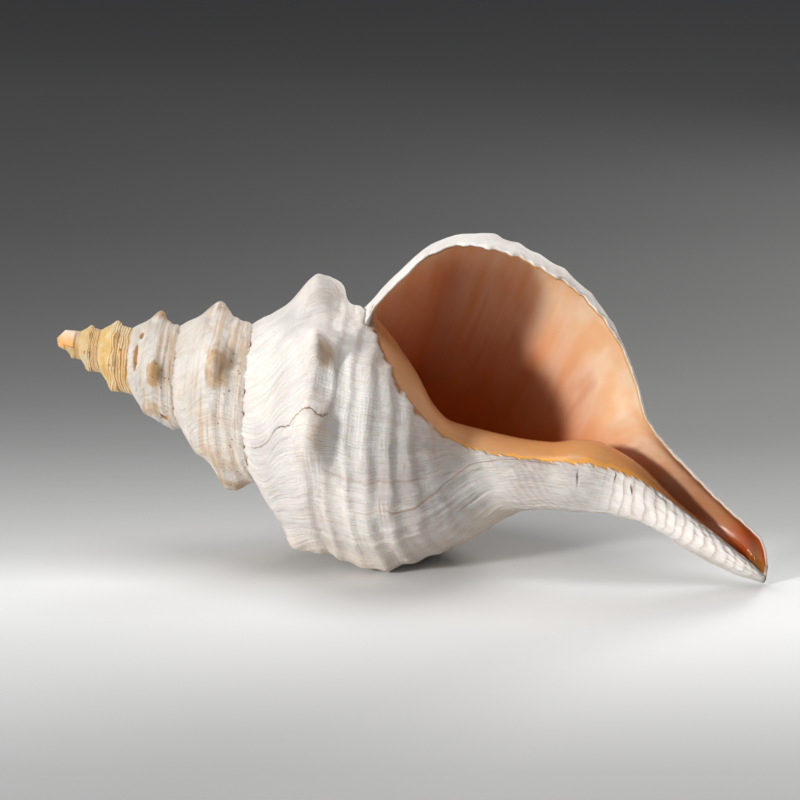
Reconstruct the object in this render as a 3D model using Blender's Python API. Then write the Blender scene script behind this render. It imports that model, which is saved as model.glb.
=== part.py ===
"""A horse conch shell lying on its side, resting on its canal tip and its last whorl.

The shell is one grown piece: a wall that winds round an axis and grows by the same ratio every turn.
It is worked out here from two profiles of the last whorl, a row of knobs and a few low ribs.
"back" is the angle in degrees wound back from the outer lip, towards the apex.
"height" runs along the coiling axis, from the point where the coil would vanish, to the canal's end.
All sizes are in millimetres, and the finished points are turned to metres.
"""
import math

import bmesh
import bpy
import numpy as np

MM = 0.001

# The coil: a whorl is this many times the size of the one before it
GROWTH = 1.53
TURNS = 5.75
COIL_START = 3.0
APEX = np.array([10.5, 0.0, 0.5])
APEX_CROWN = np.array([0.3, 0.78, 0.78])
CANAL_END = 384.0
CANAL_TIP_REACH = 0.8
LIP_ANGLE = 8.0

# Profiles of the last whorl as (height, radius), from its suture to the canal's end: the plain whorl,
# and the mouth, which flares out over the last part of the growth
WHORL_PROFILE = [
    (161.0, 53.0), (171.0, 62.0), (181.0, 69.5), (191.0, 75.0), (204.0, 78.5), (225.0, 79.5),
    (246.0, 79.0), (264.0, 72.0), (290.0, 53.5), (307.0, 33.0), (322.0, 22.0), (345.0, 15.0), (381.0, 4.0),
]
MOUTH_PROFILE = [
    (159.8, 60.6), (171.9, 81.8), (183.2, 98.0), (198.5, 107.5), (215.6, 109.8), (247.0, 104.2),
    (269.9, 92.4), (286.2, 76.9), (298.0, 58.8), (306.9, 44.0), (331.3, 31.0), (361.0, 22.5),
    (372.6, 19.5), (378.0, 14.5), (381.0, 7.0),
]
SUTURE_HEIGHT = 161.0
MOUTH_SUTURE_RISE = 1.2
FLARE_ANGLE = 235.0

# Where a whorl starts, its edge lies this far out of the whorl before it, and fairs into the wall
# over this share of the band that shows
SUTURE_LIFT = 0.5
SUTURE_FAIRING = 0.16
SUTURE_LAP = 0.6

# The columella, the solid pillar round the axis, as (height, radius) on its mouth side and opposite
PILLAR_MOUTH_SIDE = [
    (0.0, 0.0), (101.0, 6.0), (177.5, 11.0), (229.0, 13.0), (248.9, 14.0), (266.1, 16.7),
    (278.0, 21.4), (288.0, 23.1), (301.5, 20.6), (315.5, 16.8), (334.0, 10.4), (362.5, 6.2),
    (379.0, 2.8), (384.0, 1.0),
]
PILLAR_FAR_SIDE = [
    (0.0, 0.0), (101.0, 6.0), (177.5, 11.0), (229.0, 16.0), (255.0, 18.5), (277.3, 14.0),
    (301.6, 8.9), (321.9, 6.6), (344.2, 7.1), (368.8, 5.4), (379.0, 2.6), (384.0, 1.0),
]
PILLAR_BLEND = 2.0

# How far the coiling axis wanders from a straight line, as (height, shift up): the spire leans a
# little, and the canal bends away towards its end
AXIS_SHIFT = [
    (10.0, 0.3), (35.0, 1.2), (60.0, 1.2), (90.0, 0.9), (115.0, 0.3), (150.0, 0.0), (300.0, 0.0),
    (327.0, -4.2), (356.0, -12.7), (384.0, -21.0),
]

# Knobs on the shoulder: degrees back, height on the last whorl's profile, how far each stands out,
# and half widths round the whorl in degrees and along the profile
KNOBS = [
    (60, 193, 9, 15, 12), (112, 194, 12, 15, 13), (160, 196, 11, 15, 14), (207, 196, 9, 14, 10),
    (286, 215, 17, 17, 14), (324, 211, 19, 12, 12), (376, 200, 24, 14, 12), (388, 216, 18, 14, 11),
    (430, 194, 16, 15, 11), (478, 196, 15, 14, 11), (549, 214, 19, 15, 17), (594, 190, 6, 13, 11),
    (669, 210, 14, 17, 13), (742, 201, 17, 15, 13), (790, 196, 15, 14, 11), (845, 198, 15, 14, 11),
    (907, 222, 9, 13, 12), (952, 196, 8, 13, 11), (1007, 214, 13, 15, 12), (1100, 205, 19, 14, 13),
]
# Nearer the apex the knobs are worn, and stand evenly round the whorls
REGULAR_KNOBS_FROM = 1149.0
REGULAR_KNOB_STEP = 360.0 / 7
REGULAR_KNOB = (200, 13, 15, 12)
# Low ribs that run down the last whorl below the knobs: degrees back, how far out, half width
RIBS = [
    (60, 2, 14), (112, 3, 14), (160, 2.9, 9), (178, -3, 12), (202, 5.6, 10), (286, 3, 14), (324, 3, 12),
    (386, 8, 14),
]
RIB_HEIGHT = 242.0
RIB_REACH = 32.0

# The wall: full thickness at the lip's size, thinner over the last degrees before the lip's edge
WALL = 3.4
LIP_EDGE_WALL = 1.6
LIP_TAPER_ANGLE = 40.0
SMALLEST_WALL_SIZE = 0.3
MOST_WALL_LEAN = 2.2
SLOPE_PROBE = 1.0

# The hollow runs this far back as (until, degrees a step), and is never thinner than HOLLOW_ROOM
HOLLOW_STEPS = [(360.0, 15.0), (720.0, 24.0), (1261.0, 36.0)]
HOLLOW_END_ANGLE = 6.0
HOLLOW_ROOM = 0.15
HOLLOW_CLEAR = 0.1
HOLLOW_SCAN = 600

# How finely the surface is divided: columns a turn, and rows down the band and the rest of the body
BODY_STEPS = 44
SPIRE_STEPS = [42, 26, 20, 16, 12]
BAND_ROWS = 11
BASE_ROWS = 21
BASE_ROW_CROWDING = 1.15
NOTCH_ROW_SHARE = 0.012

# Pose on the table: the axis dips towards the canal, and the shell is rolled about its axis
DIP_ANGLE = 13.3
ROLL_ANGLE = 0.5

SHELL_COLOUR = (0.80, 0.72, 0.62, 1.0)
SHELL_ROUGHNESS = 0.55


def smooth_curve(points, where):
    """A curve through the points with no overshoot between them, read at each place in where."""
    x = np.array([p[0] for p in points], float)
    y = np.array([p[1] for p in points], float)
    step = np.diff(x)
    slope = np.diff(y) / step
    before, after = slope[:-1], slope[1:]
    inner = np.where(before * after > 0, 2 * before * after / (before + after + 1e-30), 0.0)
    bend = np.concatenate([[slope[0]], inner, [slope[-1]]])
    place = np.clip(where, x[0], x[-1])
    k = np.clip(np.searchsorted(x, place, side="right") - 1, 0, len(step) - 1)
    t = (place - x[k]) / step[k]
    return (
        y[k] * (1 + 2 * t) * (1 - t) ** 2
        + bend[k] * step[k] * t * (1 - t) ** 2
        + y[k + 1] * t * t * (3 - 2 * t)
        + bend[k + 1] * step[k] * t * t * (t - 1)
    )


def smooth_step(t):
    t = np.clip(t, 0, 1)
    return t * t * (3 - 2 * t)


def size_at(back):
    """The whorl's size this many degrees back, as a share of its size at the lip."""
    return GROWTH ** (-back / 360.0)


def all_knobs():
    knobs = list(KNOBS)
    back = REGULAR_KNOBS_FROM
    while back < TURNS * 360:
        knobs.append((back, *REGULAR_KNOB))
        back += REGULAR_KNOB_STEP
    return knobs


def flare_at(back):
    return smooth_step(1 - np.asarray(back, float) / FLARE_ANGLE)


def suture_height(back):
    """Height of the whorl's own starting edge, where it sits on the whorl before it."""
    return COIL_START + (SUTURE_HEIGHT - MOUTH_SUTURE_RISE * flare_at(back)) * size_at(back)


def whorl_radius(back, height):
    """Outer radius of the wound wall, without the pillar."""
    size = size_at(back)
    on_profile = (height - COIL_START) / size
    plain = smooth_curve(WHORL_PROFILE, on_profile)
    mouth = smooth_curve(MOUTH_PROFILE, on_profile)
    radius = plain + (mouth - plain) * flare_at(back)
    for angle, knob_height, out, half_angle, half_height in all_knobs():
        reach = ((back - angle) / half_angle) ** 2 + ((on_profile - knob_height) / half_height) ** 2
        radius = radius + out * np.exp(-reach)
    for angle, out, half_angle in RIBS:
        reach = ((back - angle) / half_angle) ** 2 + ((on_profile - RIB_HEIGHT) / RIB_REACH) ** 2
        radius = radius + out * np.exp(-reach)
    return np.where(on_profile > WHORL_PROFILE[-1][0], 0.0, radius * size)


def pillar_radius(angle, height):
    mouth_side = smooth_curve(PILLAR_MOUTH_SIDE, height)
    far_side = smooth_curve(PILLAR_FAR_SIDE, height)
    share = 0.5 + 0.5 * np.cos(np.radians(angle))
    return far_side + (mouth_side - far_side) * share


def outer_radius(back, height):
    wall = whorl_radius(back, height)
    pillar = pillar_radius(LIP_ANGLE - back, height)
    return 0.5 * (wall + pillar + np.hypot(wall - pillar, PILLAR_BLEND))


def wall_thickness(back, height):
    """Thickness measured along the radius: more on the slopes, so that the wall itself stays even."""
    rise = whorl_radius(back, height + SLOPE_PROBE) - whorl_radius(back, height - SLOPE_PROBE)
    lean = np.minimum(np.hypot(1, rise / (2 * SLOPE_PROBE)), MOST_WALL_LEAN)
    size = np.maximum(size_at(back), SMALLEST_WALL_SIZE)
    edge = LIP_EDGE_WALL + (WALL - LIP_EDGE_WALL) * smooth_step(back / LIP_TAPER_ANGLE)
    return edge * size * lean


def inner_radius(back, height):
    return whorl_radius(back, height) - wall_thickness(back, height)


def to_space(back, height, radius):
    """From (degrees back, height, radius) to the shell's own axes: x along the axis, z up at angle 0."""
    angle = np.radians(LIP_ANGLE - back)
    shift = smooth_curve(AXIS_SHIFT, height)
    return np.stack([height, -radius * np.sin(angle), radius * np.cos(angle) + shift], axis=-1)


class Surface:
    """Collects points and faces of the one closed surface."""

    def __init__(self):
        self.points = []
        self.faces = []
        self.count = 0

    def add(self, points):
        """Adds an array of points and returns their numbers in the same layout."""
        flat = np.asarray(points, float).reshape(-1, 3)
        numbers = np.arange(self.count, self.count + len(flat)).reshape(np.shape(points)[:-1])
        self.points.append(flat)
        self.count += len(flat)
        return numbers

    def fill_grid(self, numbers):
        """Faces between neighbouring rows and columns of a grid of point numbers."""
        a, b = numbers[:-1, :-1], numbers[1:, :-1]
        c, d = numbers[1:, 1:], numbers[:-1, 1:]
        self.faces.extend(np.stack([a, b, c, d], axis=-1).reshape(-1, 4).tolist())

    def zip_chains(self, first, first_places, second, second_places):
        """Triangles between two chains of points that run side by side."""
        i = j = 0
        while i < len(first) - 1 or j < len(second) - 1:
            more_first = i < len(first) - 1
            more_second = j < len(second) - 1
            if more_first and (not more_second or first_places[i + 1] <= second_places[j + 1]):
                self.faces.append([first[i], second[j], first[i + 1]])
                i += 1
            else:
                self.faces.append([first[i], second[j], second[j + 1]])
                j += 1

    def fill_fan(self, centre, ring):
        for here, after in zip(ring[:-1], ring[1:]):
            self.faces.append([centre, here, after])


def column_angles():
    """Degrees back of each column of points: every turn has its own number of steps."""
    places = [0.0]
    for turn, steps in enumerate([BODY_STEPS, *SPIRE_STEPS]):
        span = min(360.0, (TURNS - turn) * 360.0)
        count = max(1, round(steps * span / 360.0))
        places.extend(turn * 360.0 + span * (k + 1) / count for k in range(count))
    return np.array(places)


def hollow_angles():
    angles = []
    start = 0.0
    for until, step in HOLLOW_STEPS:
        angles.extend(np.arange(start, until, step))
        start = until
    return np.array(angles)


def base_rows():
    """How far down from the lower suture to the canal's end each row lies, as shares."""
    t = np.linspace(0, 1, BASE_ROWS)
    return NOTCH_ROW_SHARE + (1 - NOTCH_ROW_SHARE) * t**BASE_ROW_CROWDING


def band_grid(columns):
    """Heights and radii of the part of each whorl between its own suture and the next whorl's."""
    share = np.linspace(0, 1, BAND_ROWS)[None, :]
    back = columns[:, None]
    top = suture_height(back)
    on_whorl = suture_height(back - 360.0) - SUTURE_LAP * size_at(back)
    before_lip = COIL_START + SUTURE_HEIGHT * size_at(back - 360.0)
    low = np.where(back < 360.0, before_lip, on_whorl)
    heights = top + (low - top) * share
    radius = outer_radius(back, heights)
    seat = outer_radius(back + 360.0, heights[:, :1]) + SUTURE_LIFT * size_at(back)
    rise = (seat - radius[:, :1]) * np.clip(1 - share / SUTURE_FAIRING, 0, 1) ** 2
    first_turn = back > (TURNS - 1) * 360
    return heights, radius + np.where(first_turn, 0, rise)


def add_outside(surface, columns):
    """The band of every whorl and the rest of the last whorl. Returns both grids of point numbers,
    the heights along the lip, and the height where the hollow starts beside the inner lip."""
    heights, radius = band_grid(columns)
    band = surface.add(to_space(columns[:, None], heights, radius))
    around = columns[columns <= 360.0][:, None]
    lower = heights[: len(around), -1:]
    base_heights = lower + (CANAL_END - lower) * base_rows()[None, :]
    base = surface.add(to_space(around, base_heights, outer_radius(around, base_heights)))
    body = np.concatenate([band[: len(around)], base], axis=1)
    surface.fill_grid(body)
    surface.fill_grid(band[len(around) - 1 :])
    return band, body, np.concatenate([heights[0], base_heights[0]]), base_heights[-1, 0]


def close_sutures(surface, band, columns):
    """Joins the lower edge of each whorl to the starting edge of the next one round."""
    turn_start = int(np.searchsorted(columns, 360.0))
    covered = columns[columns <= columns[-1] - 360.0 + 1e-6]
    surface.zip_chains(band[turn_start:, -1], columns[turn_start:] - 360.0, band[: len(covered), 0], covered)
    return len(covered)


def close_apex(surface, band, covered_count):
    """A worn, rounded crown over the smallest turn."""
    last_turn = band[covered_count - 1 :, 0]
    ring = np.concatenate([last_turn, band[-1, 1:], last_turn[:1]])
    ring_points = np.concatenate(surface.points)[ring[:-1]]
    crown = surface.add(APEX + (ring_points - APEX) * APEX_CROWN)
    crown = np.append(crown, crown[0])
    surface.fill_grid(np.stack([ring, crown], axis=1))
    apex = surface.add(np.array([APEX]))[0]
    surface.fill_fan(apex, crown[::-1])


def close_canal_tip(surface, body):
    tip_height = np.array([CANAL_END + CANAL_TIP_REACH])
    tip = surface.add(to_space(np.array([0.0]), tip_height, np.array([0.0])))[0]
    rim = list(body[:, -1])
    surface.fill_fan(tip, rim + [rim[0]])


def hollow_span(depth):
    """Heights between which the hollow is open, at each angle: where the wall's inner face clears
    the whorl before it."""
    start, finish = [], []
    for back in depth:
        scan = np.linspace(suture_height(back), CANAL_END, HOLLOW_SCAN)
        angle = np.full_like(scan, back)
        clear = inner_radius(angle, scan) - outer_radius(angle + 360.0, scan)
        widest = int(np.argmax(clear))
        closed_above = np.nonzero(clear[:widest] < HOLLOW_CLEAR)[0]
        closed_below = np.nonzero(clear[widest:] < HOLLOW_CLEAR)[0]
        start.append(scan[closed_above[-1]] if len(closed_above) else scan[0])
        finish.append(scan[widest + closed_below[0]] if len(closed_below) else scan[-1])
    return np.array(start), np.array(finish)


def add_hollow(surface, body, notch_height):
    """The inside of the winding tube: its floor is the whorl before it, its roof the wall's inner
    face. Returns the roof's first column and its heights, which meet the lip."""
    depth = hollow_angles()
    start, finish = hollow_span(depth)
    start[0] = notch_height
    finish[0] = CANAL_END
    rows = base_rows()
    share = (rows - rows[0]) / (1 - rows[0])
    heights = start[:, None] + (finish - start)[:, None] * share[None, :]
    back = depth[:, None]
    floor_radius = outer_radius(back + 360.0, heights)
    roof_radius = np.maximum(inner_radius(back, heights), floor_radius + HOLLOW_ROOM)
    roof = surface.add(to_space(back, heights, roof_radius)[:, 1:-1])
    floor = surface.add(to_space(back, heights, floor_radius)[1:])
    floor = np.concatenate([body[-1:, BAND_ROWS:], floor], axis=0)
    roof = np.concatenate([floor[:, :1], roof, floor[:, -1:]], axis=1)
    surface.fill_grid(floor)
    surface.fill_grid(roof[:, ::-1])
    middle_height = heights[-1:].mean(axis=1)
    middle_radius = (0.5 * (roof_radius + floor_radius))[-1:].mean(axis=1)
    deepest = surface.add(to_space(depth[-1:] + HOLLOW_END_ANGLE, middle_height, middle_radius))[0]
    surface.fill_fan(deepest, list(floor[-1]) + list(roof[-1, ::-1][1:]))
    return roof[0], heights[0]


def build_surface():
    surface = Surface()
    columns = column_angles()
    band, body, lip_heights, notch_height = add_outside(surface, columns)
    covered_count = close_sutures(surface, band, columns)
    close_apex(surface, band, covered_count)
    close_canal_tip(surface, body)
    roof_edge, roof_heights = add_hollow(surface, body, notch_height)
    surface.zip_chains(body[0], lip_heights, roof_edge, roof_heights)
    surface.faces.append([body[0, 0], body[-1, BAND_ROWS - 1], body[-1, BAND_ROWS]])
    return surface


def place_on_table(points):
    """Turns the shell from its own axes to its pose and sets its box's bottom centre at the origin."""
    roll = math.radians(ROLL_ANGLE)
    dip = math.radians(DIP_ANGLE)
    x, y, z = points.T
    y, z = y * math.cos(roll) - z * math.sin(roll), y * math.sin(roll) + z * math.cos(roll)
    x, z = x * math.cos(dip) + z * math.sin(dip), z * math.cos(dip) - x * math.sin(dip)
    placed = np.stack([x, y, z], axis=-1)
    low, high = placed.min(axis=0), placed.max(axis=0)
    return placed - np.array([(low[0] + high[0]) / 2, (low[1] + high[1]) / 2, low[2]])


def shell_material():
    material = bpy.data.materials.new("shell")
    material.use_nodes = True
    shader = material.node_tree.nodes["Principled BSDF"]
    shader.inputs["Base Color"].default_value = SHELL_COLOUR
    shader.inputs["Roughness"].default_value = SHELL_ROUGHNESS
    shader.inputs["Metallic"].default_value = 0.0
    return material


def add_shell(collection):
    surface = build_surface()
    points = place_on_table(np.concatenate(surface.points)) * MM
    mesh = bpy.data.meshes.new("shell")
    mesh.from_pydata(points.tolist(), [], [[int(v) for v in face] for face in surface.faces])
    mesh.materials.append(shell_material())
    triangles = bmesh.new()
    triangles.from_mesh(mesh)
    bmesh.ops.triangulate(triangles, faces=triangles.faces, quad_method="SHORT_EDGE")
    bmesh.ops.recalc_face_normals(triangles, faces=triangles.faces)
    triangles.to_mesh(mesh)
    triangles.free()
    mesh.shade_smooth()
    collection.objects.link(bpy.data.objects.new("shell", mesh))


def main():
    for obj in list(bpy.data.objects):
        bpy.data.objects.remove(obj)
    collection = bpy.data.collections.new("horse_conch_shell")
    bpy.context.scene.collection.children.link(collection)
    add_shell(collection)


main()
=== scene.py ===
import math

import bpy
import numpy as np
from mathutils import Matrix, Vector


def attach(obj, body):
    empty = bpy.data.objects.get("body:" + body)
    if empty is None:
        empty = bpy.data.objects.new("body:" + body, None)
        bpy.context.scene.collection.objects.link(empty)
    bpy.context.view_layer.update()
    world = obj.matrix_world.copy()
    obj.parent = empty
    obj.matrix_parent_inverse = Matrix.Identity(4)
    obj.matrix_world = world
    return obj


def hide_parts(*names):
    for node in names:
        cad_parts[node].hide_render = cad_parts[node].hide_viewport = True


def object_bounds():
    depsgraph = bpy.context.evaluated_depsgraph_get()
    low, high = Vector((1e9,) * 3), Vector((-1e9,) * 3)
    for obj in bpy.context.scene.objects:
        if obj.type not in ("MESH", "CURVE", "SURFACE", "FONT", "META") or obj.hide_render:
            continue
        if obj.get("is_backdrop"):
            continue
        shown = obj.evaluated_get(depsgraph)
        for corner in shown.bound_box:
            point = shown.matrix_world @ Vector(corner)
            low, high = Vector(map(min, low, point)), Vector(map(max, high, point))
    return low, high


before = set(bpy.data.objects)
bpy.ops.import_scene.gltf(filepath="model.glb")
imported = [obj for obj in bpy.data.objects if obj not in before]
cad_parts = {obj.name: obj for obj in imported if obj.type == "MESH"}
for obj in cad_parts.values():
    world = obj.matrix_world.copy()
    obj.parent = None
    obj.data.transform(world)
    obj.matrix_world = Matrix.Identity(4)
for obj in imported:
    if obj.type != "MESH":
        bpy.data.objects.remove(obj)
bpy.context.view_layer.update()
mm = 0.001

# Growth of the shell. "back" is degrees wound back from the lip, "height" runs down the coil's axis,
# and "profile" is the height scaled to the size of the last whorl. Lengths are in millimetres.
growth = {
    "rate": 1.53,            # times larger every turn
    "turns": 5.75,
    "coilStart": 3.0,
    "apex": (10.5, 0.0, 0.5),
    "apexCrown": (0.3, 0.78, 0.78),
    "canalEnd": 384.0,
    "canalTipReach": 0.8,
    "lipAngle": 8.0,
    "suture": 161.0,
    "mouthSutureRise": 1.2,
    "flareAngle": 235.0,
    "pillarBlend": 2.0,
    "wall": 3.4,
    "lipEdgeWall": 1.6,
    "lipTaperAngle": 40.0,
    "smallestWall": 0.3,
    "mostWallLean": 2.2,
    "dip": 13.3,             # the axis dips towards the canal
    "roll": 0.5,
    "startInFrame": (-190.416, -11.307, 110.352),  # where the coil's axis starts, in the part's frame
    # outlines: place along the profile or the axis, and radius; the axis shift is upwards
    "whorlProfile": [
        (161, 53), (171, 62), (181, 69.5), (191, 75), (204, 78.5), (225, 79.5), (246, 79), (264, 72),
        (290, 53.5), (307, 33), (322, 22), (345, 15), (381, 4),
    ],
    "mouthProfile": [
        (159.8, 60.6), (171.9, 81.8), (183.2, 98), (198.5, 107.5), (215.6, 109.8), (247, 104.2),
        (269.9, 92.4), (286.2, 76.9), (298, 58.8), (306.9, 44), (331.3, 31), (361, 22.5), (372.6, 19.5),
        (378, 14.5), (381, 7),
    ],
    "pillarMouthSide": [
        (0, 0), (101, 6), (177.5, 11), (229, 13), (248.9, 14), (266.1, 16.7), (278, 21.4), (288, 23.1),
        (301.5, 20.6), (315.5, 16.8), (334, 10.4), (362.5, 6.2), (379, 2.8), (384, 1),
    ],
    "pillarFarSide": [
        (0, 0), (101, 6), (177.5, 11), (229, 16), (255, 18.5), (277.3, 14), (301.6, 8.9), (321.9, 6.6),
        (344.2, 7.1), (368.8, 5.4), (379, 2.6), (384, 1),
    ],
    "axisShift": [
        (10, 0.3), (35, 1.2), (60, 1.2), (90, 0.9), (115, 0.3), (150, 0), (300, 0), (327, -4.2), (356, -12.7),
        (384, -21),
    ],
    # degrees back, place, how far out, half widths in degrees and along the profile
    "knobs": [
        (60, 193, 9, 15, 12), (112, 194, 12, 15, 13), (160, 196, 11, 15, 14), (207, 196, 9, 14, 10),
        (286, 216, 22, 15, 13), (324, 211, 24, 11, 12), (376, 200, 24, 14, 12), (388, 216, 18, 14, 11),
        (430, 194, 16, 15, 11), (478, 196, 15, 14, 11), (549, 214, 19, 15, 17), (594, 190, 6, 13, 11),
        (669, 210, 20, 15, 13), (742, 201, 17, 15, 13), (790, 196, 15, 14, 11), (845, 198, 15, 14, 11),
        (907, 222, 9, 13, 12), (952, 196, 8, 13, 11), (1007, 214, 18, 13, 12), (1100, 205, 19, 14, 13),
    ],
    "fullKnob": 20.0,
    "wornKnobsFrom": 1149.0,
    "wornKnobStep": 360 / 7,
    "wornKnob": (200, 13, 15, 12),
    # degrees back, how far out, half width in degrees
    "ribs": [
        (60, 2, 14), (112, 3, 14), (160, 2.9, 9), (178, -3, 12), (202, 5.6, 10), (286, 3, 14), (324, 3, 12),
        (386, 8, 14),
    ],
    "ribPlace": 242.0,
    "ribReach": 32.0,
    # the glaze spreads over the last whorl up to this line: height along the axis, degrees back
    "glazeLine": [
        (150, 400), (163, 384), (168, 359), (183, 331), (190, 322), (201, 314), (213, 308), (228, 306),
        (242, 308), (252, 312), (264, 318), (284, 324), (302, 331), (313, 336), (323, 343), (335, 350),
        (346, 355), (384, 361),
    ],
    # place, and how many degrees a growth line has gone back there
    "growthLean": [
        (161, -40), (170, -35), (180, -27), (192, -13), (205, -5), (215, 0), (245, -2), (265, 0), (290, 4),
        (305, 10), (323, 22), (362, 52), (394, 62), (560, 80),
    ],
}
# How finely the surface is divided, and how the hollow is found
mesh = {
    "bodyColumns": 320,
    "spireColumns": [190, 140, 96, 64, 46],
    "bandRows": 52,
    "baseRows": 104,
    "bandRowCrowding": 0.85,
    "notchShare": 0.012,
    "hollowSteps": [(60, 4), (360, 9), (720, 18), (1261, 36)],
    "lipRound": [25, 60, 90, 120, 155],
    "crownShares": (0.33, 0.66, 1.0),
    "hollowScan": 600,
    "leastGap": 0.1,
    "leastHollow": 0.15,
    "hollowCap": 6,
}


def smoothCurve(points, where):
    x = np.array([p[0] for p in points], float)
    y = np.array([p[1] for p in points], float)
    step = np.diff(x)
    slope = np.diff(y) / step
    before, after = slope[:-1], slope[1:]
    inner = np.where(before * after > 0, 2 * before * after / (before + after + 1e-30), 0.0)
    bend = np.concatenate([[slope[0]], inner, [slope[-1]]])
    place = np.clip(where, x[0], x[-1])
    k = np.clip(np.searchsorted(x, place, side="right") - 1, 0, len(step) - 1)
    t = (place - x[k]) / step[k]
    return (
        y[k] * (1 + 2 * t) * (1 - t) ** 2
        + bend[k] * step[k] * t * (1 - t) ** 2
        + y[k + 1] * t * t * (3 - 2 * t)
        + bend[k + 1] * step[k] * t * t * (t - 1)
    )


def smoothStep(t):
    t = np.clip(t, 0, 1)
    return t * t * (3 - 2 * t)


def sizeAt(back):
    return growth["rate"] ** (-back / 360.0)


def profileAt(back, height):
    return (height - growth["coilStart"]) / sizeAt(back)


def allKnobs():
    count = math.ceil((growth["turns"] * 360 - growth["wornKnobsFrom"]) / growth["wornKnobStep"])
    angles = [growth["wornKnobsFrom"] + k * growth["wornKnobStep"] for k in range(count)]
    return growth["knobs"] + [(angle, *growth["wornKnob"]) for angle in angles]


def flareAt(back):
    return smoothStep(1 - back / growth["flareAngle"])


def sutureHeight(back):
    rise = growth["mouthSutureRise"] * flareAt(back)
    return growth["coilStart"] + (growth["suture"] - rise) * sizeAt(back)


def knobShare(back, profile):
    share = 0.0
    for angle, knobHeight, out, halfAngle, halfHeight in allKnobs():
        share = share + out / growth["fullKnob"] * np.exp(
            -(((back - angle) / halfAngle) ** 2) - ((profile - knobHeight) / halfHeight) ** 2
        )
    return share


def whorlRadius(back, height):
    profile = profileAt(back, height)
    plain = smoothCurve(growth["whorlProfile"], profile)
    radius = plain + (smoothCurve(growth["mouthProfile"], profile) - plain) * flareAt(back)
    radius = radius + growth["fullKnob"] * knobShare(back, profile)
    for angle, out, halfAngle in growth["ribs"]:
        away = (profile - growth["ribPlace"]) / growth["ribReach"]
        radius = radius + out * np.exp(-(((back - angle) / halfAngle) ** 2) - away ** 2)
    return np.where(profile > growth["whorlProfile"][-1][0], 0.0, radius * sizeAt(back))


def pillarRadius(angle, height):
    mouthSide = smoothCurve(growth["pillarMouthSide"], height)
    farSide = smoothCurve(growth["pillarFarSide"], height)
    return farSide + (mouthSide - farSide) * (0.5 + 0.5 * np.cos(np.radians(angle)))


def outerRadius(back, height):
    wall = whorlRadius(back, height)
    pillar = pillarRadius(growth["lipAngle"] - back, height)
    return 0.5 * (wall + pillar + np.hypot(wall - pillar, growth["pillarBlend"]))


def wallThickness(back, height):
    slope = (whorlRadius(back, height + 1) - whorlRadius(back, height - 1)) / 2
    lean = np.minimum(np.hypot(1, slope), growth["mostWallLean"])
    edge = growth["lipEdgeWall"]
    edge = edge + (growth["wall"] - edge) * smoothStep(back / growth["lipTaperAngle"])
    return edge * np.maximum(sizeAt(back), growth["smallestWall"]) * lean


def innerRadius(back, height):
    return whorlRadius(back, height) - wallThickness(back, height)


def waver(place, seed, waves):
    # a steady sum of sines with fixed random phases: waves are (length, amount)
    rng = np.random.default_rng(seed)
    total = 0.0
    for length, amount in waves:
        total = total + amount * np.sin(2 * np.pi * (place / length + rng.random()))
    return total


# Waves are (length, amount): along the lip and the glaze in millimetres, round the suture in degrees
lip = {
    "edgeWaves": [(31, 0.5), (11.3, 0.35), (5.9, 0.3), (3.1, 0.16)], "edgeSeed": 5, "ruffle": 0.35,
    "ruffleSeed": 8, "waveFade": 14.0, "mostOfRadius": 0.5, "leastRadius": 4,
}
sutureEdge = {
    "lift": 0.9, "fairing": 0.12, "lap": 0.6, "waves": [(47, 0.55), (19.7, 0.5), (8.3, 0.42), (4.3, 0.24)],
    "seed": 3, "calmUntil": 4, "fullAfter": 20,
}
glazeEdge = {
    "waves": [(13, 1.4), (5.3, 1.0), (3.1, 0.7)], "seed": 12, "softness": 2.5, "clearOfSuture": 0.3,
    "topOfMouth": 150, "rimTurn": 0.45, "rimFrom": 172, "rimFade": 12, "longestProfile": 560,
}


def toSpace(back, height, radius):
    # points of the shell about its own axis, x down the axis, z up where the angle is 0
    fade = np.clip(1 - back / lip["waveFade"], 0, 1) ** 2
    angle = np.radians(growth["lipAngle"] - back - fade * waver(height, lip["edgeSeed"], lip["edgeWaves"]))
    shift = smoothCurve(growth["axisShift"], height)
    radius = radius + fade * lip["ruffle"] * waver(height, lip["ruffleSeed"], lip["edgeWaves"])
    return np.stack([height + 0 * radius, -radius * np.sin(angle), radius * np.cos(angle) + shift], axis=-1)


def intoFrame(points):
    roll, dip = math.radians(growth["roll"]), math.radians(growth["dip"])
    x, y, z = points.T
    y, z = y * math.cos(roll) - z * math.sin(roll), y * math.sin(roll) + z * math.cos(roll)
    x, z = x * math.cos(dip) + z * math.sin(dip), z * math.cos(dip) - x * math.sin(dip)
    return (np.stack([x, y, z], axis=-1) + np.array(growth["startInFrame"])) * mm


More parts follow.
